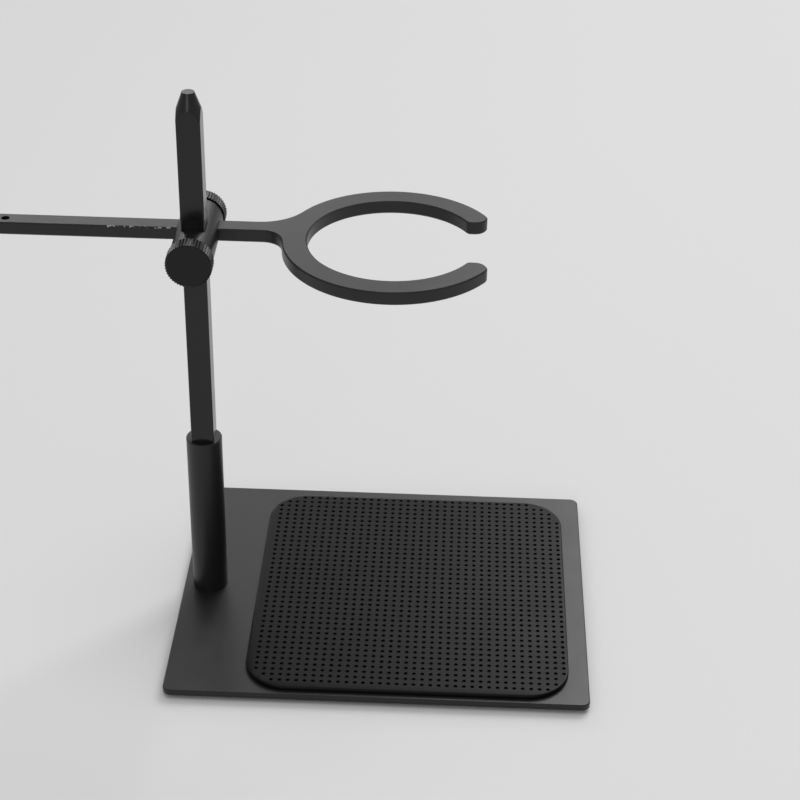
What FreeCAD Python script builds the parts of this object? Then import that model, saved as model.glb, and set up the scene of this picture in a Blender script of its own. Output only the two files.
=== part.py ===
import FreeCAD, Part
import math
import os

# Pour over dripper stand: a heavy plate with a mat, a post in a socket, and a
# clamp that carries an arm with an open ring.
# Millimetres, +Z up, +X towards the ring's opening, -Y towards the user.
# Drawn from the centre of the plate's lower face, and saved from the middle of
# the whole stand's footprint, on the table.

os.makedirs("parts", exist_ok=True)
V = FreeCAD.Vector
Y_DIR = V(0, 1, 0)
Z_DIR = V(0, 0, 1)

# Sizes of the plate and what lies on it and under it
plate_width = 180.0
plate_depth = 151.0
plate_thickness = 3.0
plate_corner_radius = 3.5
plate_bevel = 0.4
mat_left_margin = 33.5
mat_right_margin = 8.5
mat_front_margin = 2.7
mat_back_margin = 7.3
mat_thickness = 2.0
mat_corner_radius = 18.0
mat_edge_bevel = 0.6
dimple_pitch = 3.54
dimple_reach = 1.32
dimple_depth = 1.3
dimple_margin = 2.1
foot_radius = 7.0
foot_height = 1.5
foot_inset = 13.0

# Sizes of the post and its socket
post_inset = 11.5
post_side = 9.75
post_corner_radius = 0.6
post_top = 238.0
post_tip_radius = 2.55
post_cone_slope = 0.37
spigot_radius = 4.5
spigot_bevel = 0.5
socket_radius = 7.7
socket_height = 78.6
socket_floor = 18.0
socket_bore_spare = 1.0
socket_rim_bevel = 0.35
socket_fit = 0.05

# Fasteners of the socket
socket_screw_radius = 2.45
socket_screw_length = 11.0
socket_screw_head_radius = 4.9
socket_screw_key = 3.0
socket_screw_key_depth = 1.6
screw_fit = 0.05
grub_radius = 1.95
grub_height = 22.0
grub_seat_depth = 0.5
grub_key = 2.0
grub_key_depth = 1.5

# Sizes of the clamp
clamp_height = 172.1
barrel_radius = 8.85
barrel_bevel = 0.5
barrel_front_length = 13.65
barrel_back_length = 11.3
slide_fit = 0.08
knob_radius = 9.55
knob_length = 6.5
knob_gap = 0.6
knob_bevel = 0.4
knurl_count = 48
knurl_depth = 0.35
stud_radius = 2.45
stud_bore_depth = 4.5
stud_fit = 0.05
stud_tip_bevel = 0.4
stud_tip_gap = 0.25

# Sizes of the arm and its ring
arm_width = 8.5
arm_thickness = 5.6
arm_behind_post = 11.7
arm_tail = 85.0
arm_end_round = 3.0
arm_hole_radius = 1.75
arm_hole_inset = 5.3
arm_bevel = 0.6
ring_reach = 80.2
ring_before_arm = 8.5
ring_radius = 45.1
ring_bore_radius = 34.8
ring_gap_width = 34.4
ring_tip_outer_round = 5.0
ring_tip_inner_round = 2.5
ring_root_front_round = 9.0
ring_root_back_round = 20.0

# Heights and places that follow from the sizes
mat_width = plate_width - mat_left_margin - mat_right_margin
mat_depth = plate_depth - mat_front_margin - mat_back_margin
mat_centre_x = (mat_left_margin - mat_right_margin) / 2
mat_centre_y = (mat_front_margin - mat_back_margin) / 2
post_x = post_inset - plate_width / 2
post_y = 0.0
plate_top = plate_thickness
socket_top = plate_top + socket_height
socket_bore_bottom = plate_top + socket_floor
spigot_bottom = socket_bore_bottom + socket_bore_spare
clamp_z = plate_top + clamp_height
post_end = plate_top + post_top
post_front = post_y - post_side / 2
post_passage = post_side + 2 * slide_fit
arm_y = post_y + arm_behind_post
arm_bottom = clamp_z - arm_thickness / 2
barrel_front = post_y - barrel_front_length
barrel_back = arm_y + barrel_back_length
ring_y = arm_y - ring_before_arm
ring_x = post_x + ring_reach
arm_end_x = post_x - arm_tail
footprint_middle = V((arm_end_x + plate_width / 2) / 2, 0, -foot_height)


def post_point(z):
    return V(post_x, post_y, z)


def rounded_slab(width, depth, thickness, corner_radius, centre):
    """A slab or square bar with round upright corners, its lower face at the centre point."""
    corner = centre - V(width / 2, depth / 2, 0)
    slab = Part.makeBox(width, depth, thickness, corner)
    upright = [edge for edge in slab.Edges if abs(edge.tangentAt(edge.FirstParameter).z) > 0.9]
    return slab.makeFillet(corner_radius, upright)


def rim_edges(shape, z):
    """The edges of a shape that lie in the level plane at a height."""
    found = []
    for edge in shape.Edges:
        box = edge.BoundBox
        if abs(box.ZMin - z) < 1e-4 and abs(box.ZMax - z) < 1e-4:
            found.append(edge)
    return found


def turned(points, base, direction):
    """A turned solid from (radius, length) points along a line from its base."""
    profile = Part.makePolygon([V(r, 0, h) for r, h in points + points[:1]])
    solid = Part.Face(profile).revolve(V(0, 0, 0), Z_DIR, 360)
    solid.Placement = FreeCAD.Placement(base, FreeCAD.Rotation(Z_DIR, direction))
    return Part.Solid(solid.Shells[0]) if solid.ShapeType != "Solid" else solid


def hexagon_key(size, depth, base, direction):
    """The hexagon recess for a key, as a solid to cut away."""
    corner = size / math.sqrt(3)
    turns = [math.radians(60 * n) for n in range(7)]
    outline = Part.makePolygon([V(corner * math.cos(a), corner * math.sin(a), 0) for a in turns])
    key = Part.Face(outline).extrude(V(0, 0, depth))
    key.Placement = FreeCAD.Placement(base, FreeCAD.Rotation(Z_DIR, direction))
    return key


def save(name, shape):
    shape = shape.removeSplitter()
    assert shape.isValid(), name
    assert len(shape.Solids) == 1, name
    shape.translate(-footprint_middle)
    shape.exportStep("parts/" + name + ".step")


# Base plate: sheet steel, with a countersunk hole under the socket
plate = rounded_slab(plate_width, plate_depth, plate_thickness, plate_corner_radius, V(0, 0, 0))
plate = plate.makeChamfer(plate_bevel, rim_edges(plate, plate_top) + rim_edges(plate, 0.0))
hole_radius = socket_screw_radius + screw_fit
sink_radius = socket_screw_head_radius + screw_fit
hole = turned(
    [(0, -1), (sink_radius, -1), (sink_radius, 0), (hole_radius, sink_radius - hole_radius),
     (hole_radius, plate_thickness + 1), (0, plate_thickness + 1)],
    post_point(0), Z_DIR)
save("base_plate", plate.cut(hole))

# Mat: soft, lies flat on the plate. Every second dimple of its fine square grid is
# cut, as a three-sided pit.
mat_top = plate_top + mat_thickness
mat_base = V(mat_centre_x, mat_centre_y, plate_top)
mat = rounded_slab(mat_width, mat_depth, mat_thickness, mat_corner_radius, mat_base)
mat = mat.makeChamfer(mat_edge_bevel, rim_edges(mat, mat_top))


def dimple(x, y):
    """A pit in the mat's upper face, as a solid to cut away that stands out above it."""
    above = 0.5 * dimple_depth
    reach = dimple_reach * (1 + above / dimple_depth)
    turns = [math.radians(90 + 120 * n) for n in range(3)]
    rim = [V(x + reach * math.cos(a), y + reach * math.sin(a), mat_top + above) for a in turns]
    bottom = V(x, y, mat_top - dimple_depth)
    sides = [Part.Face(Part.makePolygon([rim[n - 1], rim[n], bottom, rim[n - 1]])) for n in range(3)]
    lid = Part.Face(Part.makePolygon(rim + rim[:1]))
    return Part.Solid(Part.Shell(sides + [lid]))


def has_room(x, y):
    """Whether a dimple at a place from the mat's middle keeps its margin from the round corners."""
    past_x = max(abs(x) - mat_width / 2 + mat_corner_radius, 0)
    past_y = max(abs(y) - mat_depth / 2 + mat_corner_radius, 0)
    return math.hypot(past_x, past_y) < mat_corner_radius - dimple_margin + 0.01


pits = []
for column in range(int((mat_width / 2 - dimple_margin) / dimple_pitch) + 1):
    for row in range(int((mat_depth / 2 - dimple_margin) / dimple_pitch) + 1):
        x = mat_width / 2 - dimple_margin - 2 * column * dimple_pitch
        y = mat_depth / 2 - dimple_margin - 2 * row * dimple_pitch
        if has_room(x, y):
            pits.append(dimple(mat_centre_x + x, mat_centre_y + y))
save("mat", mat.cut(Part.Compound(pits)))

# Feet: four rubber discs glued under the corners
for side_name, side in (("left", -1), ("right", 1)):
    for end_name, end in (("front", -1), ("back", 1)):
        foot_x = side * (plate_width / 2 - foot_inset)
        foot_y = end * (plate_depth / 2 - foot_inset)
        foot = Part.makeCylinder(foot_radius, foot_height, V(foot_x, foot_y, -foot_height), Z_DIR)
        save("foot_" + end_name + "_" + side_name, foot)

# Socket: a sleeve with a closed lower end, tapped from below and across its back
socket = Part.makeCylinder(socket_radius, socket_height, post_point(plate_top), Z_DIR)
socket_bore = Part.makeCylinder(
    spigot_radius + socket_fit, socket_top - socket_bore_bottom + 1, post_point(socket_bore_bottom), Z_DIR)
socket = socket.cut(socket_bore)
socket = socket.makeChamfer(socket_rim_bevel, rim_edges(socket, socket_top))
screw_hole_top = socket_screw_length + 0.5
screw_hole = Part.makeCylinder(hole_radius, screw_hole_top - plate_top + 1, post_point(plate_top - 1), Z_DIR)
grub_z = plate_top + grub_height
grub_hole = Part.makeCylinder(grub_radius + screw_fit, socket_radius + 1, post_point(grub_z), Y_DIR)
socket = socket.cut(screw_hole).cut(grub_hole)
save("post_socket", socket)

# Socket screw: countersunk head flush with the plate's lower face
head_radius = socket_screw_head_radius
shank_radius = socket_screw_radius
screw = turned(
    [(0, 0), (head_radius, 0), (shank_radius, head_radius - shank_radius),
     (shank_radius, socket_screw_length - 0.5), (shank_radius - 0.5, socket_screw_length),
     (0, socket_screw_length)],
    post_point(0), Z_DIR)
screw = screw.cut(hexagon_key(socket_screw_key, socket_screw_key_depth, post_point(0), Z_DIR))
save("socket_screw", screw)

# Post: square bar with a turned cone at the top and a turned spigot at the bottom,
# its shoulder on the socket's top and a seat for the grub screw in the spigot
bar = rounded_slab(post_side, post_side, post_end - socket_top, post_corner_radius, post_point(socket_top))
cone_length = (post_side - post_tip_radius) / post_cone_slope
cone = turned(
    [(0, socket_top - 1), (post_side, socket_top - 1), (post_side, post_end - cone_length),
     (post_tip_radius, post_end), (0, post_end)],
    post_point(0), Z_DIR)
spigot = turned(
    [(0, spigot_bottom), (spigot_radius - spigot_bevel, spigot_bottom),
     (spigot_radius, spigot_bottom + spigot_bevel),
     (spigot_radius, socket_top + 1), (0, socket_top + 1)],
    post_point(0), Z_DIR)
grub_tip_y = post_y + spigot_radius - grub_seat_depth
grub_seat = Part.makeCylinder(grub_radius + 0.15, 2 * grub_seat_depth, V(post_x, grub_tip_y, grub_z), Y_DIR)
save("post", bar.common(cone).fuse(spigot).cut(grub_seat))

# Grub screw: level with the socket's back, its tip in the post's seat
grub_length = post_y + socket_radius - 0.3 - grub_tip_y
grub = turned(
    [(0, 0), (grub_radius - 0.3, 0), (grub_radius, 0.3), (grub_radius, grub_length), (0, grub_length)],
    V(post_x, grub_tip_y, grub_z), Y_DIR)
grub_back = V(post_x, grub_tip_y + grub_length, grub_z)
grub = grub.cut(hexagon_key(grub_key, grub_key_depth, grub_back, V(0, -1, 0)))
save("post_grub_screw", grub)

# Clamp barrel: square passage for the post, arm passage behind it, and a tapped bore in each end
barrel_length = barrel_back - barrel_front
barrel = turned(
    [(0, 0), (barrel_radius - barrel_bevel, 0), (barrel_radius, barrel_bevel),
     (barrel_radius, barrel_length - barrel_bevel), (barrel_radius - barrel_bevel, barrel_length),
     (0, barrel_length)],
    V(post_x, barrel_front, clamp_z), Y_DIR)
post_bore_bottom = post_point(clamp_z - 2 * barrel_radius)
post_bore = rounded_slab(post_passage, post_passage, 4 * barrel_radius, post_corner_radius, post_bore_bottom)
passage_width = arm_width + 2 * slide_fit
passage_height = arm_thickness + 2 * slide_fit
arm_passage = Part.makeBox(
    4 * barrel_radius, passage_width, passage_height,
    V(post_x - 2 * barrel_radius, arm_y - passage_width / 2, clamp_z - passage_height / 2))
arm_passage = arm_passage.makeChamfer(
    arm_bevel, [e for e in arm_passage.Edges if abs(e.tangentAt(e.FirstParameter).x) > 0.9])
stud_bore_radius = stud_radius + stud_fit
front_bore = Part.makeCylinder(
    stud_bore_radius, post_y - barrel_front + 1, V(post_x, barrel_front - 1, clamp_z), Y_DIR)
back_bore = Part.makeCylinder(stud_bore_radius, barrel_back - arm_y + 1, V(post_x, arm_y, clamp_z), Y_DIR)
save("clamp_barrel", barrel.cut(post_bore).cut(arm_passage).cut(front_bore).cut(back_bore))


def knurled_knob(face, direction):
    """A knob from its outer face inwards: a bevel, a knurled band and the bore for its stud."""
    root = knob_radius - knurl_depth
    turns = [math.pi * n / knurl_count for n in range(2 * knurl_count + 1)]
    radii = [knob_radius - knurl_depth * (n % 2) for n in range(2 * knurl_count + 1)]
    outline = Part.makePolygon([V(r * math.cos(a), r * math.sin(a), 0) for r, a in zip(radii, turns)])
    band = Part.Face(outline).extrude(V(0, 0, knob_length - knob_bevel))
    band.Placement = FreeCAD.Placement(face + direction * knob_bevel, FreeCAD.Rotation(Z_DIR, direction))
    core = turned(
        [(0, 0), (root - knob_bevel, 0), (root, knob_bevel), (root, knob_length), (0, knob_length)],
        face, direction)
    bore_bottom = face + direction * (knob_length - stud_bore_depth)
    bore = Part.makeCylinder(stud_bore_radius, stud_bore_depth + 1, bore_bottom, direction)
    return band.fuse(core).cut(bore)


def stud(knob_face, direction, tip):
    """A threaded stud from the bottom of its knob's bore to its tip."""
    start = knob_face + direction * (knob_length - stud_bore_depth)
    length = (tip - start).dot(direction)
    return turned(
        [(0, 0), (stud_radius, 0), (stud_radius, length - stud_tip_bevel),
         (stud_radius - stud_tip_bevel, length), (0, length)],
        start, direction)


# Front knob and its stud, which presses on the post's front face
front_face = V(post_x, barrel_front - knob_gap - knob_length, clamp_z)
save("front_knob", knurled_knob(front_face, Y_DIR))
save("front_stud", stud(front_face, Y_DIR, V(post_x, post_front - stud_tip_gap, clamp_z)))

# Rear knob and its stud, which presses on the back of the arm
rear_face = V(post_x, barrel_back + knob_gap + knob_length, clamp_z)
save("rear_knob", knurled_knob(rear_face, V(0, -1, 0)))
save("rear_stud", stud(rear_face, V(0, -1, 0), V(post_x, arm_y + arm_width / 2 + stud_tip_gap, clamp_z)))

# Arm with the open ring, one piece: bar and disc joined, their corners rounded, then
# bored, opened and bevelled
ring_centre = V(ring_x, ring_y, arm_bottom)
bar_corner = V(arm_end_x, arm_y - arm_width / 2, arm_bottom)
bar = Part.makeBox(ring_x - arm_end_x, arm_width, arm_thickness, bar_corner)
disc = Part.makeCylinder(ring_radius, arm_thickness, ring_centre, Z_DIR)
arm = disc.fuse(bar).removeSplitter()


def upright_edges(shape, test):
    """The upright edges of a shape whose place passes a test."""
    found = []
    for edge in shape.Edges:
        box = edge.BoundBox
        if box.ZLength > arm_thickness / 2 and box.XLength < 1e-3 and test(box.Center):
            found.append(edge)
    return found


def at_root(front):
    def test(p):
        near = abs(math.hypot(p.x - ring_x, p.y - ring_y) - ring_radius) < 1e-2 and p.x < ring_x
        return near and (p.y < arm_y) == front
    return test


arm = arm.makeFillet(ring_root_front_round, upright_edges(arm, at_root(True)))
arm = arm.makeFillet(ring_root_back_round, upright_edges(arm, at_root(False)))
arm = arm.makeFillet(arm_end_round, upright_edges(arm, lambda p: p.x < arm_end_x + 1))
arm = arm.cut(Part.makeCylinder(ring_bore_radius, arm_thickness + 2, ring_centre - V(0, 0, 1), Z_DIR))
gap = Part.makeBox(
    2 * ring_radius, ring_gap_width, arm_thickness + 2, ring_centre + V(0, -ring_gap_width / 2, -1))
arm = arm.cut(gap)
gap_half = ring_gap_width / 2


def at_tip(radius):
    def test(p):
        at_gap = abs(abs(p.y - ring_y) - gap_half) < 1e-2 and p.x > ring_x
        return at_gap and abs(math.hypot(p.x - ring_x, p.y - ring_y) - radius) < 1e-2
    return test


arm = arm.makeFillet(ring_tip_outer_round, upright_edges(arm, at_tip(ring_radius)))
arm = arm.makeFillet(ring_tip_inner_round, upright_edges(arm, at_tip(ring_bore_radius)))
arm = arm.makeChamfer(arm_bevel, rim_edges(arm, arm_bottom) + rim_edges(arm, arm_bottom + arm_thickness))
hole_centre = V(arm_end_x + arm_hole_inset, arm_y, arm_bottom - 1)
arm = arm.cut(Part.makeCylinder(arm_hole_radius, arm_thickness + 2, hole_centre, Z_DIR))
save("ring_arm", arm)
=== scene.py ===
import math

import bmesh
import bpy
import numpy as np
from mathutils import Matrix, Vector


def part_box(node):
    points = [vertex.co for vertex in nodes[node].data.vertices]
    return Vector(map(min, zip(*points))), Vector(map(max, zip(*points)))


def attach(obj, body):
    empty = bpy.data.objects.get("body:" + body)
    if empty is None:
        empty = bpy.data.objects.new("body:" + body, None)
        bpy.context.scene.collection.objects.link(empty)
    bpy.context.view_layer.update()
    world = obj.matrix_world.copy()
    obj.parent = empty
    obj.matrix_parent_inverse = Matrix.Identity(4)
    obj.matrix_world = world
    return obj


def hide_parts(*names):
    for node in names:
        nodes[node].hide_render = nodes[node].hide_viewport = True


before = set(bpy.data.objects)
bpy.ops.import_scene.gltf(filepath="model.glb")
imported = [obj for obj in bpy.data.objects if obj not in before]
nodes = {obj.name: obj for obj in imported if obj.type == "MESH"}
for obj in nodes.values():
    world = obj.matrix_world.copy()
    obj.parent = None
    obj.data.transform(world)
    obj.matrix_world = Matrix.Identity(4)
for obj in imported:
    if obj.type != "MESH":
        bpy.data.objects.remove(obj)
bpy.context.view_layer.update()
MM = 0.001

# The base plate: a slab of 3 mm sheet steel with its corners rounded and its
# edges broken, powder coated in matt black. The coat is a cured epoxy polyester
# with a faint orange peel, which softens reflections instead of blurring them flat.
plate_low, plate_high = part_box("base_plate")
plate_top = plate_high.z
plate_middle = (plate_low + plate_high) / 2


def linear(hex_colour):
    """An sRGB hex colour as linear RGBA."""
    parts = [int(hex_colour[i:i + 2], 16) / 255 for i in (1, 3, 5)]
    return [c / 12.92 if c <= 0.04045 else ((c + 0.055) / 1.055) ** 2.4 for c in parts] + [1.0]


def add_node(tree, kind, settings=(), inputs=(), links=()):
    """Adds a node, sets its properties and sockets, and links sockets to (node, output) pairs."""
    node = tree.nodes.new(kind)
    for name, value in dict(settings).items():
        setattr(node, name, value)
    for name, value in dict(inputs).items():
        node.inputs[name].default_value = value
    for name, (source, output) in dict(links).items():
        tree.links.new(source.outputs[output], node.inputs[name])
    return node


def new_material(name):
    """An empty node material with its output and the coordinates that every pattern reads."""
    material = bpy.data.materials.new(name)
    material.use_nodes = True
    material.node_tree.nodes.clear()
    output = add_node(material.node_tree, "ShaderNodeOutputMaterial")
    place = add_node(material.node_tree, "ShaderNodeTexCoord")
    return material, material.node_tree, output, place


def dress(node_name, material):
    """Gives a CAD node's object one material."""
    mesh = nodes[node_name].data
    mesh.materials.clear()
    mesh.materials.append(material)


coat_shade_size = 14 * MM
# The real specks are finer; they are drawn half a millimetre across, so that they show.
coat_speck_size = 0.5 * MM
shade_weight, speck_weight, shade_start = 0.45, 0.35, 0.1
roughness_drop, roughness_rise = 0.05, 0.06


def powder_coat(name, colour, light_colour, roughness, peel_mm, peel_depth_mm):
    """Matt black powder coat: a slow change of shade, specks of flow agent, and orange peel in the bump.

    Gives back the material, its shader, the node of its colour and the one of its coordinates.
    """
    material, tree, output, place = new_material(name)
    shade = add_node(tree, "ShaderNodeTexNoise", inputs={"Scale": 1 / coat_shade_size, "Detail": 3.0},
                     links={"Vector": (place, "Object")})
    speck = add_node(tree, "ShaderNodeTexNoise", inputs={"Scale": 1 / coat_speck_size, "Detail": 2.0},
                     links={"Vector": (place, "Object")})
    slow = add_node(tree, "ShaderNodeMath", {"operation": "MULTIPLY_ADD"},
                    {1: shade_weight, 2: shade_start}, {0: (shade, "Fac")})
    both = add_node(tree, "ShaderNodeMath", {"operation": "MULTIPLY_ADD"}, {1: speck_weight},
                    {0: (speck, "Fac"), 2: (slow, "Value")})
    coat_colour = add_node(tree, "ShaderNodeMix", {"data_type": "RGBA"},
                           {"A": linear(colour), "B": linear(light_colour)}, {"Factor": (both, "Value")})
    rough = add_node(tree, "ShaderNodeMapRange",
                     inputs={"To Min": roughness - roughness_drop, "To Max": roughness + roughness_rise},
                     links={"Value": (shade, "Fac")})
    peel = add_node(tree, "ShaderNodeTexNoise", inputs={"Scale": 1 / (peel_mm * MM), "Detail": 2.5},
                    links={"Vector": (place, "Object")})
    bump = add_node(tree, "ShaderNodeBump", inputs={"Strength": 1.0, "Distance": peel_depth_mm * MM},
                    links={"Height": (peel, "Fac")})
    coat = add_node(tree, "ShaderNodeBsdfPrincipled", inputs={"IOR": 1.5, "Specular IOR Level": 0.42},
                    links={"Base Color": (coat_colour, "Result"), "Roughness": (rough, "Result"),
                           "Normal": (bump, "Normal")})
    tree.links.new(coat.outputs["BSDF"], output.inputs["Surface"])
    return material, coat, coat_colour, place


# Cured black powder: nearly black, it shows its grain and peel only where light grazes it.
plate_coat = powder_coat("matt_black_powder_coat", "#111112", "#1b1b1d",
                         roughness=0.37, peel_mm=0.9, peel_depth_mm=0.012)[0]
dress("base_plate", plate_coat)

# The feet: four discs of black rubber, 14 mm across, moulded and glued under the
# plate's corners. They keep its edge just off the table.
bloom_size = 2.5 * MM
bloom_depth = 0.03 * MM
foot_rubber, tree, output, place = new_material("moulded_black_rubber")
bloom = add_node(tree, "ShaderNodeTexNoise", inputs={"Scale": 1 / bloom_size, "Detail": 4.0},
                 links={"Vector": (place, "Object")})
bloom_colour = add_node(tree, "ShaderNodeMix", {"data_type": "RGBA"},
                        {"A": linear("#121212"), "B": linear("#232322")}, {"Factor": (bloom, "Fac")})
skin = add_node(tree, "ShaderNodeBump", inputs={"Strength": 0.6, "Distance": bloom_depth},
                links={"Height": (bloom, "Fac")})
# Rubber: dull, with the faint grey bloom of wax that comes to its surface.
rubber = add_node(tree, "ShaderNodeBsdfPrincipled", inputs={"Roughness": 0.72, "IOR": 1.5},
                  links={"Base Color": (bloom_colour, "Result"), "Normal": (skin, "Normal")})
tree.links.new(rubber.outputs["BSDF"], output.inputs["Surface"])
for end in ("front", "back"):
    for side in ("left", "right"):
        dress(f"foot_{end}_{side}", foot_rubber)

# The mat: a sheet of black silicone, compression moulded with a square grid of
# round dimples over all its upper face. It lies loose on the plate. The moulded
# face is satin, so each dimple reads as a dark dot with a light far lip.
mat_low, mat_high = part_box("mat")
mat_corner = 18.0 * MM
mat_edge_round = 0.6 * MM
dimple_pitch = 3.54 * MM
dimple_radius = 0.85 * MM
dimple_depth = 1.15 * MM
dimple_edge_margin = 2.1 * MM
dimple_room = 0.25 * MM
dimple_wall_slope = 2.1
dimple_crossings = np.array([-1.0, -0.8, -0.33, 0.0, 0.33, 0.8, 1.0]) * dimple_radius
mat_sharp_degrees = 38
edge_turns = np.radians([30, 60, 90])
tiny = 1e-12


def outline_distance(x, y, low, high, corner):
    """Signed distance from a rounded rectangle's outline, negative inside, and its outward direction.

    With q = |p - centre| - half size + r, the distance is |max(q, 0)| + min(max(qx, qy), 0) - r.
    """
    centre, half = (low + high) / 2, (high - low) / 2
    qx = np.abs(x - centre[0]) - half[0] + corner
    qy = np.abs(y - centre[1]) - half[1] + corner
    ox, oy = np.maximum(qx, 0), np.maximum(qy, 0)
    outside = np.hypot(ox, oy)
    distance = outside + np.minimum(np.maximum(qx, qy), 0) - corner
    nx = np.where(outside > 0, ox, qx > qy) * np.sign(x - centre[0])
    ny = np.where(outside > 0, oy, qx <= qy) * np.sign(y - centre[1])
    length = np.maximum(np.hypot(nx, ny), tiny)
    return distance, nx / length, ny / length


merge_distance = 0.01 * MM


def mesh_object(name, points, faces, sharp_degrees=None):
    """A mesh object at the origin from points and faces, smooth up to the angle of a sharp edge."""
    mesh = bpy.data.meshes.new(name)
    mesh.from_pydata(points.tolist(), [], faces)
    if sharp_degrees is not None:
        merged = bmesh.new()
        merged.from_mesh(mesh)
        bmesh.ops.remove_doubles(merged, verts=merged.verts, dist=merge_distance)
        merged.to_mesh(mesh)
        merged.free()
        mesh.shade_smooth()
        mesh.set_sharp_from_angle(angle=math.radians(sharp_degrees))
    thing = bpy.data.objects.new(name, mesh)
    bpy.context.scene.collection.objects.link(thing)
    return thing


def dimpled_sheet():
    """Points and faces of the mat, one closed sheet.

    Grid lines cross each dimple at 0, +-0.33, +-0.8 and +-1 of its radius. There a point (u, v) moves
    to max(|u|, |v|) along its own direction, which turns squares to circles, and sinks to
    depth * min(1, (1 - (d / r)^2) * slope) at distance d from the middle. Points past the outline move
    back onto it. Rings of the outline then carry a quarter round of radius e down to the plate,
    out by e sin t and down by e (1 - cos t), and a fan closes the underside.
    """
    low = np.array(mat_low[:2]) + mat_edge_round
    high = np.array(mat_high[:2]) - mat_edge_round
    corner = mat_corner - mat_edge_round
    lines, middles = [], []
    for axis in (0, 1):
        last = np.array(mat_high)[axis] - dimple_edge_margin
        count = int((last - low[axis] - dimple_radius) / dimple_pitch) + 1
        middle = last - dimple_pitch * np.arange(count)
        middles.append(middle)
        crossed = (middle[:, None] + dimple_crossings).ravel()
        lines.append(np.sort(np.concatenate([[low[axis]], crossed, [high[axis]]])))
    gx, gy = np.meshgrid(*lines, indexing="ij")
    cx = middles[0][np.abs(gx[..., None] - middles[0]).argmin(-1)]
    cy = middles[1][np.abs(gy[..., None] - middles[1]).argmin(-1)]
    u, v = gx - cx, gy - cy
    reach = np.maximum(np.abs(u), np.abs(v))
    has_room = outline_distance(cx, cy, low, high, corner)[0] < -(dimple_radius + dimple_room)
    near = (reach < dimple_radius + merge_distance) & has_room
    length = np.maximum(np.hypot(u, v), tiny)
    gx = np.where(near, cx + u * reach / length, gx)
    gy = np.where(near, cy + v * reach / length, gy)
    share = np.clip((1 - (reach / dimple_radius) ** 2) * dimple_wall_slope, 0, 1)
    sunk = np.where(near, dimple_depth * share, 0.0)
    distance, nx, ny = outline_distance(gx, gy, low, high, corner)
    past = np.maximum(distance, 0)
    top = np.stack([gx - nx * past, gy - ny * past, mat_high.z - sunk], -1).reshape(-1, 3)
    index = np.arange(gx.size).reshape(gx.shape)
    quads = np.stack([index[:-1, :-1], index[1:, :-1], index[1:, 1:], index[:-1, 1:]], -1).reshape(-1, 4)
    quads = quads[(distance.ravel() < -tiny)[quads].any(1)]
    starts, ends = quads.ravel(), np.roll(quads, -1, axis=1).ravel()
    rim = ~np.isin(starts * index.size + ends, ends * index.size + starts)
    starts, ends = starts[rim], ends[rim]
    nx, ny = outline_distance(top[:, 0], top[:, 1], low, high, corner)[1:]
    outward = np.stack([nx, ny, 0 * nx], -1)
    out = np.append(mat_edge_round * np.sin(edge_turns), mat_edge_round)
    down = np.append(mat_edge_round * (1 - np.cos(edge_turns)), mat_high.z - mat_low.z)
    points, faces = [top], [quads]
    for ring in range(len(out)):
        points.append(top + outward * out[ring] - [0, 0, down[ring]])
        here, below = ring * index.size, (ring + 1) * index.size
        faces.append(np.stack([ends + here, starts + here, starts + below, ends + below], -1))
    hub = (len(out) + 1) * index.size
    points.append([[*((low + high) / 2), mat_low.z]])
    last_ring = hub - index.size
    fan = np.stack([ends + last_ring, starts + last_ring, np.full_like(starts, hub)], -1)
    points = np.concatenate(points)
    used = np.unique(np.concatenate([f.ravel() for f in faces] + [fan.ravel()]))
    renumber = np.zeros(len(points), int)
    renumber[used] = np.arange(len(used))
    return points[used], [f for group in faces + [fan] for f in renumber[group].tolist()]


mat_sheet = mesh_object("mat_dimpled", *dimpled_sheet(), sharp_degrees=mat_sharp_degrees)
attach(mat_sheet, "stand")
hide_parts("mat")

# Silicone: soft black that drinks light, with dust-fine lint and a dull sheen at low angles.
lint_size = 0.35 * MM
lint_depth = 0.02 * MM
lint_start, lint_full, lint_most = 0.45, 0.8, 0.5
cloud_size = 30 * MM
silicone_smoothest, silicone_roughest = 0.31, 0.43
silicone, tree, output, place = new_material("moulded_black_silicone")
lint = add_node(tree, "ShaderNodeTexNoise",
                inputs={"Scale": 1 / lint_size, "Detail": 2.0, "Roughness": 0.7},
                links={"Vector": (place, "Object")})
cloud = add_node(tree, "ShaderNodeTexNoise", inputs={"Scale": 1 / cloud_size, "Detail": 2.0},
                 links={"Vector": (place, "Object")})
lint_share = add_node(tree, "ShaderNodeMapRange",
                      inputs={"From Min": lint_start, "From Max": lint_full, "To Max": lint_most},
                      links={"Value": (lint, "Fac")})
silicone_colour = add_node(tree, "ShaderNodeMix", {"data_type": "RGBA"},
                           {"A": linear("#060606"), "B": linear("#181819")},
                           {"Factor": (lint_share, "Result")})
silicone_rough = add_node(tree, "ShaderNodeMapRange",
                          inputs={"To Min": silicone_smoothest, "To Max": silicone_roughest},
                          links={"Value": (cloud, "Fac")})
silicone_skin = add_node(tree, "ShaderNodeBump", inputs={"Strength": 0.7, "Distance": lint_depth},
                         links={"Height": (lint, "Fac")})
silicone_shader = add_node(tree, "ShaderNodeBsdfPrincipled",
                           inputs={"IOR": 1.42, "Specular IOR Level": 0.15},
                           links={"Base Color": (silicone_colour, "Result"),
                                  "Roughness": (silicone_rough, "Result"),
                                  "Normal": (silicone_skin, "Normal")})
tree.links.new(silicone_shader.outputs["BSDF"], output.inputs["Surface"])
dress("mat", silicone)
mat_sheet.data.materials.append(silicone)

# The socket: a sleeve turned from steel bar and bored from above, coated like the
# plate. It stands upright near the plate's left edge.
# Socket coat: the same powder, painted a shade darker than the plate's as painted shade on the upright
# sleeve. It rolls from a soft light edge to black round the sleeve.
socket_coat_painted_darker = powder_coat("socket_powder_coat_painted_darker", "#0c0c0d", "#151517",
                          roughness=0.38, peel_mm=0.8, peel_depth_mm=0.01)[0]
dress("post_socket", socket_coat_painted_darker)

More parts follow.
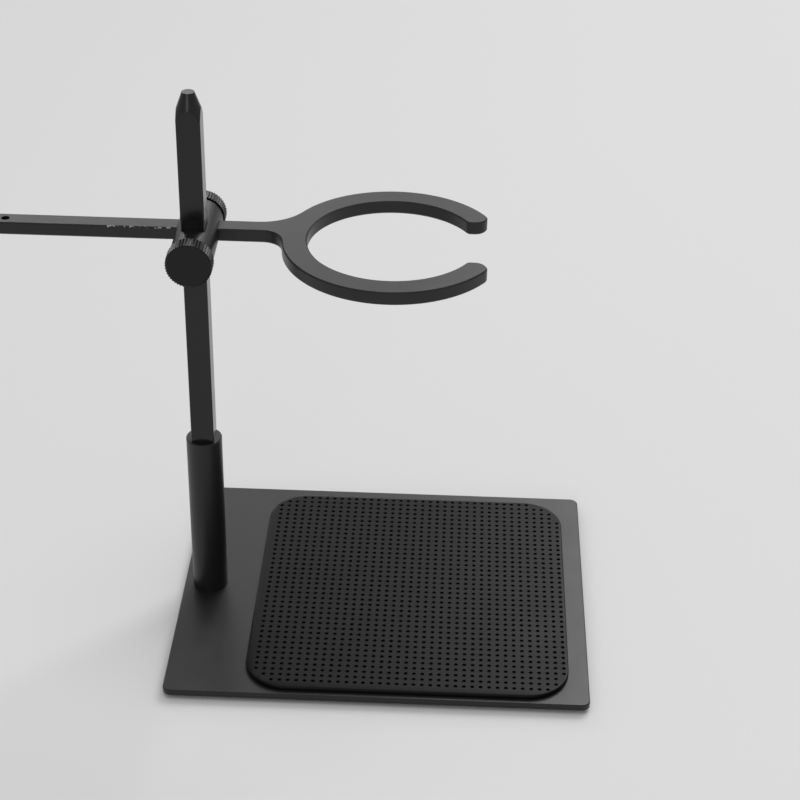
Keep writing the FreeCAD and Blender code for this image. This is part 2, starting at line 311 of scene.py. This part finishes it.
# The socket's screw: M5 with a countersunk head, from below through the plate. It
# draws the sleeve down onto the plate, and its head lies level with the underside.
oxide_patch_size = 0.8 * MM
oxide_smoothest, oxide_roughest = 0.34, 0.5
black_oxide, tree, output, place = new_material("black_oxide_steel")
oxide = add_node(tree, "ShaderNodeTexNoise", inputs={"Scale": 1 / oxide_patch_size, "Detail": 4.0},
                 links={"Vector": (place, "Object")})
oxide_colour = add_node(tree, "ShaderNodeMix", {"data_type": "RGBA"},
                        {"A": linear("#2c2c2e"), "B": linear("#4a4845")}, {"Factor": (oxide, "Fac")})
oxide_rough = add_node(tree, "ShaderNodeMapRange",
                       inputs={"To Min": oxide_smoothest, "To Max": oxide_roughest},
                       links={"Value": (oxide, "Fac")})
# Oiled oxide on steel: blue black, with brown where the film is thin.
oxide_shader = add_node(tree, "ShaderNodeBsdfPrincipled", inputs={"Metallic": 1.0},
                        links={"Base Color": (oxide_colour, "Result"), "Roughness": (oxide_rough, "Result")})
tree.links.new(oxide_shader.outputs["BSDF"], output.inputs["Surface"])
dress("socket_screw", black_oxide)

# The post: cold drawn square bar, its lower end turned to a spigot that drops into
# the socket and its upper end turned to a cone, then coated thinner than the plate.
# Bar coat: thin and smoother, so that each flat keeps one even shade and the cone one streak. Its colour is
# painted a shade darker than the plate's, as painted shade on the upright bar.
post_coat_painted_darker = powder_coat("bar_powder_coat_painted_darker", "#0d0d0e", "#141416",
                        roughness=0.2, peel_mm=0.7, peel_depth_mm=0.006)[0]
dress("post", post_coat_painted_darker)
post_low, post_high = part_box("post")
post_middle = (post_low + post_high) / 2

# The post's grub screw: M4 with a hexagon key, across the socket's back wall. Its tip
# sits in a dimple of the spigot, so the post can't turn or lift out.
dress("post_grub_screw", black_oxide)

# The clamp barrel: turned aluminium bar, cross drilled and broached for the post and
# the arm, then anodised black. The dye leaves a fine grain over the tool's marks.
turning_pitch = 0.16 * MM
# The real grain is finer; it is drawn a quarter of a millimetre wide, so that it shows.
grain_size = 0.25 * MM
# At scale 1, a Wave texture's phase grows by 20 radians per unit of length.
wave_phase = 20.0


def anodised_aluminium(name, colour, light_colour, roughness, pattern, axis_place, marks_mm):
    """Black anodised aluminium: grain in the colour, and marks of the lathe as a fine wave in the bump."""
    material, tree, output, place = new_material(name)
    grain = add_node(tree, "ShaderNodeTexNoise", inputs={"Scale": 1 / grain_size, "Detail": 2.0},
                     links={"Vector": (place, "Object")})
    grain_colour = add_node(tree, "ShaderNodeMix", {"data_type": "RGBA"},
                            {"A": linear(colour), "B": linear(light_colour)}, {"Factor": (grain, "Fac")})
    from_axis = add_node(tree, "ShaderNodeVectorMath", {"operation": "SUBTRACT"}, {1: axis_place},
                         {0: (place, "Object")})
    marks = add_node(tree, "ShaderNodeTexWave",
                     {"wave_type": pattern, "bands_direction": "Y", "rings_direction": "Y"},
                     {"Scale": 2 * math.pi / (wave_phase * turning_pitch), "Distortion": 0.4},
                     {"Vector": (from_axis, "Vector")})
    relief = add_node(tree, "ShaderNodeMath", {"operation": "ADD"},
                      links={0: (marks, "Fac"), 1: (grain, "Fac")})
    bump = add_node(tree, "ShaderNodeBump", inputs={"Strength": 0.5, "Distance": marks_mm * MM},
                    links={"Height": (relief, "Value")})
    shader = add_node(tree, "ShaderNodeBsdfPrincipled",
                      inputs={"Roughness": roughness, "IOR": 1.5, "Specular IOR Level": 0.26},
                      links={"Base Color": (grain_colour, "Result"), "Normal": (bump, "Normal")})
    tree.links.new(shader.outputs["BSDF"], output.inputs["Surface"])
    return material


barrel_low, barrel_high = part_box("clamp_barrel")
barrel_middle = (barrel_low + barrel_high) / 2
# Barrel finish: satin black with one soft streak along the round.
barrel_finish = anodised_aluminium(
    "black_anodised_barrel", "#0b0b0c", "#141415", roughness=0.36,
    pattern="BANDS", axis_place=barrel_middle, marks_mm=0.006)
dress("clamp_barrel", barrel_finish)

# The studs: M5 steel rod, cut off and fixed in the knobs, black oxide. Tightened, the
# front one bears on the post and the rear one on the arm.
thread_pitch = 0.8 * MM
thread_depth = 0.4 * MM
stud_finish, tree, output, place = new_material("black_oxide_thread")
thread = add_node(tree, "ShaderNodeTexWave",
                  {"wave_type": "BANDS", "bands_direction": "Y", "wave_profile": "TRI"},
                  {"Scale": 2 * math.pi / (wave_phase * thread_pitch)}, {"Vector": (place, "Object")})
thread_colour = add_node(tree, "ShaderNodeMix", {"data_type": "RGBA"},
                         {"A": linear("#232325"), "B": linear("#4c4b49")}, {"Factor": (thread, "Fac")})
thread_bump = add_node(tree, "ShaderNodeBump", inputs={"Strength": 0.8, "Distance": thread_depth},
                       links={"Height": (thread, "Fac")})
# Thread: dark roots and crests rubbed lighter, at the real pitch.
thread_shader = add_node(tree, "ShaderNodeBsdfPrincipled", inputs={"Roughness": 0.4, "Metallic": 1.0},
                         links={"Base Color": (thread_colour, "Result"), "Normal": (thread_bump, "Normal")})
tree.links.new(thread_shader.outputs["BSDF"], output.inputs["Surface"])
for name in ("front_stud", "rear_stud"):
    dress(name, stud_finish)

# The knobs: turned from the same aluminium bar, straight knurled round the rim and
# faced flat, so each face carries fine rings round its axis. Anodised like the barrel.
# Knob finish: a flat even black on the face, and a glint on each tooth of the knurl.
knob_finish = anodised_aluminium(
    "black_anodised_knob", "#0b0b0c", "#131314", roughness=0.34,
    pattern="RINGS", axis_place=barrel_middle, marks_mm=0.004)
for name in ("front_knob", "rear_knob"):
    dress(name, knob_finish)

# The arm: flat steel bar and ring cut in one piece, its edges broken, coated like the
# plate. Sliding it through the clamp has chipped the coat along its front upper edge.
arm_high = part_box("ring_arm")[1]
arm_behind_post = 11.7 * MM
arm_width = 8.5 * MM
arm_front = post_middle.y + arm_behind_post - arm_width / 2
chip_inset = 0.3 * MM
chip_edge = Vector((0, arm_front + chip_inset, arm_high.z - chip_inset))
chip_reach, chip_core = 0.55 * MM, 0.22 * MM
chip_size = 1.5 * MM
flake_start, flake_full = 0.56, 0.6
chips_start, chips_end = 37 * MM, 10 * MM
# Arm coat: mid grey on the upper face, where the lamps graze it, and black on the side.
arm_coat, arm_shader, arm_colour, place = powder_coat(
    "arm_powder_coat", "#0e0e0f", "#171719", roughness=0.36, peel_mm=0.8, peel_depth_mm=0.008)
tree = arm_coat.node_tree
from_edge = add_node(tree, "ShaderNodeVectorMath", {"operation": "SUBTRACT"}, {1: chip_edge},
                     {0: (place, "Object")})
across = add_node(tree, "ShaderNodeVectorMath", {"operation": "MULTIPLY"}, {1: (0, 1, 1)},
                  {0: (from_edge, "Vector")})
edge_distance = add_node(tree, "ShaderNodeVectorMath", {"operation": "LENGTH"},
                         links={0: (across, "Vector")})
near_edge = add_node(tree, "ShaderNodeMapRange", inputs={"From Min": chip_reach, "From Max": chip_core},
                     links={"Value": (edge_distance, "Value")})
along = add_node(tree, "ShaderNodeSeparateXYZ", links={"Vector": (place, "Object")})
after_start = add_node(tree, "ShaderNodeMath", {"operation": "GREATER_THAN"},
                       {1: post_middle.x - chips_start}, {0: (along, "X")})
before_end = add_node(tree, "ShaderNodeMath", {"operation": "LESS_THAN"},
                      {1: post_middle.x - chips_end}, {0: (along, "X")})
stretch = add_node(tree, "ShaderNodeMath", {"operation": "MULTIPLY"},
                   links={0: (after_start, "Value"), 1: (before_end, "Value")})
flake = add_node(tree, "ShaderNodeTexNoise",
                 inputs={"Scale": 1 / chip_size, "Detail": 4.0, "Roughness": 0.65},
                 links={"Vector": (place, "Object")})
flake_share = add_node(tree, "ShaderNodeMapRange", inputs={"From Min": flake_start, "From Max": flake_full},
                       links={"Value": (flake, "Fac")})
chipped = add_node(tree, "ShaderNodeMath", {"operation": "MULTIPLY"},
                   links={0: (near_edge, "Result"), 1: (flake_share, "Result")})
chips = add_node(tree, "ShaderNodeMath", {"operation": "MULTIPLY"},
                 links={0: (chipped, "Value"), 1: (stretch, "Value")})
# Chips: the pale primer under the black.
with_chips = add_node(tree, "ShaderNodeMix", {"data_type": "RGBA"}, {"B": linear("#b4b4b0")},
                      {"Factor": (chips, "Value"), "A": (arm_colour, "Result")})
tree.links.new(with_chips.outputs["Result"], arm_shader.inputs["Base Color"])
dress("ring_arm", arm_coat)

# The table: a pale, matt top that keeps the stand's shadow. Its grey changes with the
# distance from the stand, in metres, which evens it out under the lamps and beyond them.
floor_size = 24.0
near_grey, back_grey, front_grey, far_grey = "#dbdbdb", "#c5c5c5", "#c6c6c6", "#f4f4f4"
back_start, back_end = -0.1, 1.0
front_start, front_end = -0.9, -1.9
far_start, far_end = 2.2, 4.2
floor_grid = np.array([[-1, -1, 0], [1, -1, 0], [1, 1, 0], [-1, 1, 0]]) * floor_size / 2
floor = mesh_object("floor", floor_grid, [(0, 1, 2, 3)])
floor_paint, tree, output, place = new_material("pale_table")
floor_place = add_node(tree, "ShaderNodeSeparateXYZ", links={"Vector": (place, "Object")})
from_middle = add_node(tree, "ShaderNodeVectorMath", {"operation": "LENGTH"}, links={0: (place, "Object")})
back_share = add_node(tree, "ShaderNodeMapRange", inputs={"From Min": back_start, "From Max": back_end},
                      links={"Value": (floor_place, "Y")})
front_share = add_node(tree, "ShaderNodeMapRange", inputs={"From Min": front_start, "From Max": front_end},
                       links={"Value": (floor_place, "Y")})
far_share = add_node(tree, "ShaderNodeMapRange", inputs={"From Min": far_start, "From Max": far_end},
                     links={"Value": (from_middle, "Value")})
back_colour = add_node(tree, "ShaderNodeMix", {"data_type": "RGBA"},
                       {"A": linear(near_grey), "B": linear(back_grey)}, {"Factor": (back_share, "Result")})
front_colour = add_node(tree, "ShaderNodeMix", {"data_type": "RGBA"}, {"B": linear(front_grey)},
                        {"Factor": (front_share, "Result"), "A": (back_colour, "Result")})
floor_colour = add_node(tree, "ShaderNodeMix", {"data_type": "RGBA"}, {"B": linear(far_grey)},
                        {"Factor": (far_share, "Result"), "A": (front_colour, "Result")})
# Table top: pale and quite matt, so it shows only soft shadows.
floor_shader = add_node(tree, "ShaderNodeBsdfPrincipled",
                        inputs={"Roughness": 0.9, "Specular IOR Level": 0.1},
                        links={"Base Color": (floor_colour, "Result")})
tree.links.new(floor_shader.outputs["BSDF"], output.inputs["Surface"])
floor.data.materials.append(floor_paint)

# The light: an even pale surround, a large box overhead, one at the back right that
# gives the coat its sheen, a low one behind the arm, and a low one in front.
world = bpy.data.worlds.new("surround")
bpy.context.scene.world = world
world.use_nodes = True
world.node_tree.nodes.clear()
surround = add_node(world.node_tree, "ShaderNodeBackground",
                    inputs={"Color": linear("#e6e6e6"), "Strength": 0.6})
world_output = add_node(world.node_tree, "ShaderNodeOutputWorld")
world.node_tree.links.new(surround.outputs["Background"], world_output.inputs["Surface"])


def soft_box(name, place, target, width, height, power):
    """A rectangular area lamp that faces its target, with places in metres and power in watts."""
    lamp = bpy.data.lights.new(name, "AREA")
    lamp.shape = "RECTANGLE"
    lamp.size, lamp.size_y = width, height
    lamp.energy = power
    thing = bpy.data.objects.new(name, lamp)
    bpy.context.scene.collection.objects.link(thing)
    thing.location = place
    thing.rotation_euler = (Vector(target) - Vector(place)).to_track_quat("-Z", "Y").to_euler()


soft_box("top_box", place=(0.1, 0.2, 2.4), target=(0.05, 0.1, 0.0), width=1.4, height=1.4, power=10.0)
soft_box("back_box", place=(0.9, 1.8, 1.85), target=(0.1, 0, 0.0), width=1.6, height=1.4, power=38.0)
soft_box("low_box", place=(-0.9, 2.5, 1.0), target=(0, 0, 0.1), width=1.6, height=0.5, power=9.0)
soft_box("front_box", place=(-0.3, -2.4, 0.62), target=(-0.04, 0, 0.2), width=0.9, height=0.5, power=7.5)

# The camera: the photograph's own place, turn and lens, worked out from the plate, the
# post and the arm. Its place is in millimetres from the middle of the plate's upper face.
focal_pixels = 1922.65
picture_pixels = 800
camera_place = Vector((27.61, -692.25, 532.19)) * MM
camera_yaw, camera_pitch, camera_roll = -0.03144579, 0.55754336, 0.01705163
lens = bpy.data.cameras.new("camera")
lens.sensor_width = 36.0
lens.lens = focal_pixels / picture_pixels * lens.sensor_width
lens.clip_start, lens.clip_end = 0.05, 20.0
camera = bpy.data.objects.new("camera", lens)
bpy.context.scene.collection.objects.link(camera)
turn = (Matrix.Rotation(-camera_yaw, 3, "Z") @ Matrix.Rotation(math.pi / 2 - camera_pitch, 3, "X")
        @ Matrix.Rotation(camera_roll, 3, "Z"))
origin = Vector((plate_middle.x, plate_middle.y, plate_top))
camera.matrix_world = Matrix.Translation(origin + camera_place) @ turn.to_4x4()
bpy.context.scene.camera = camera

# The picture: plain view of the colours, nothing added.
bpy.context.scene.view_settings.view_transform = "Standard"
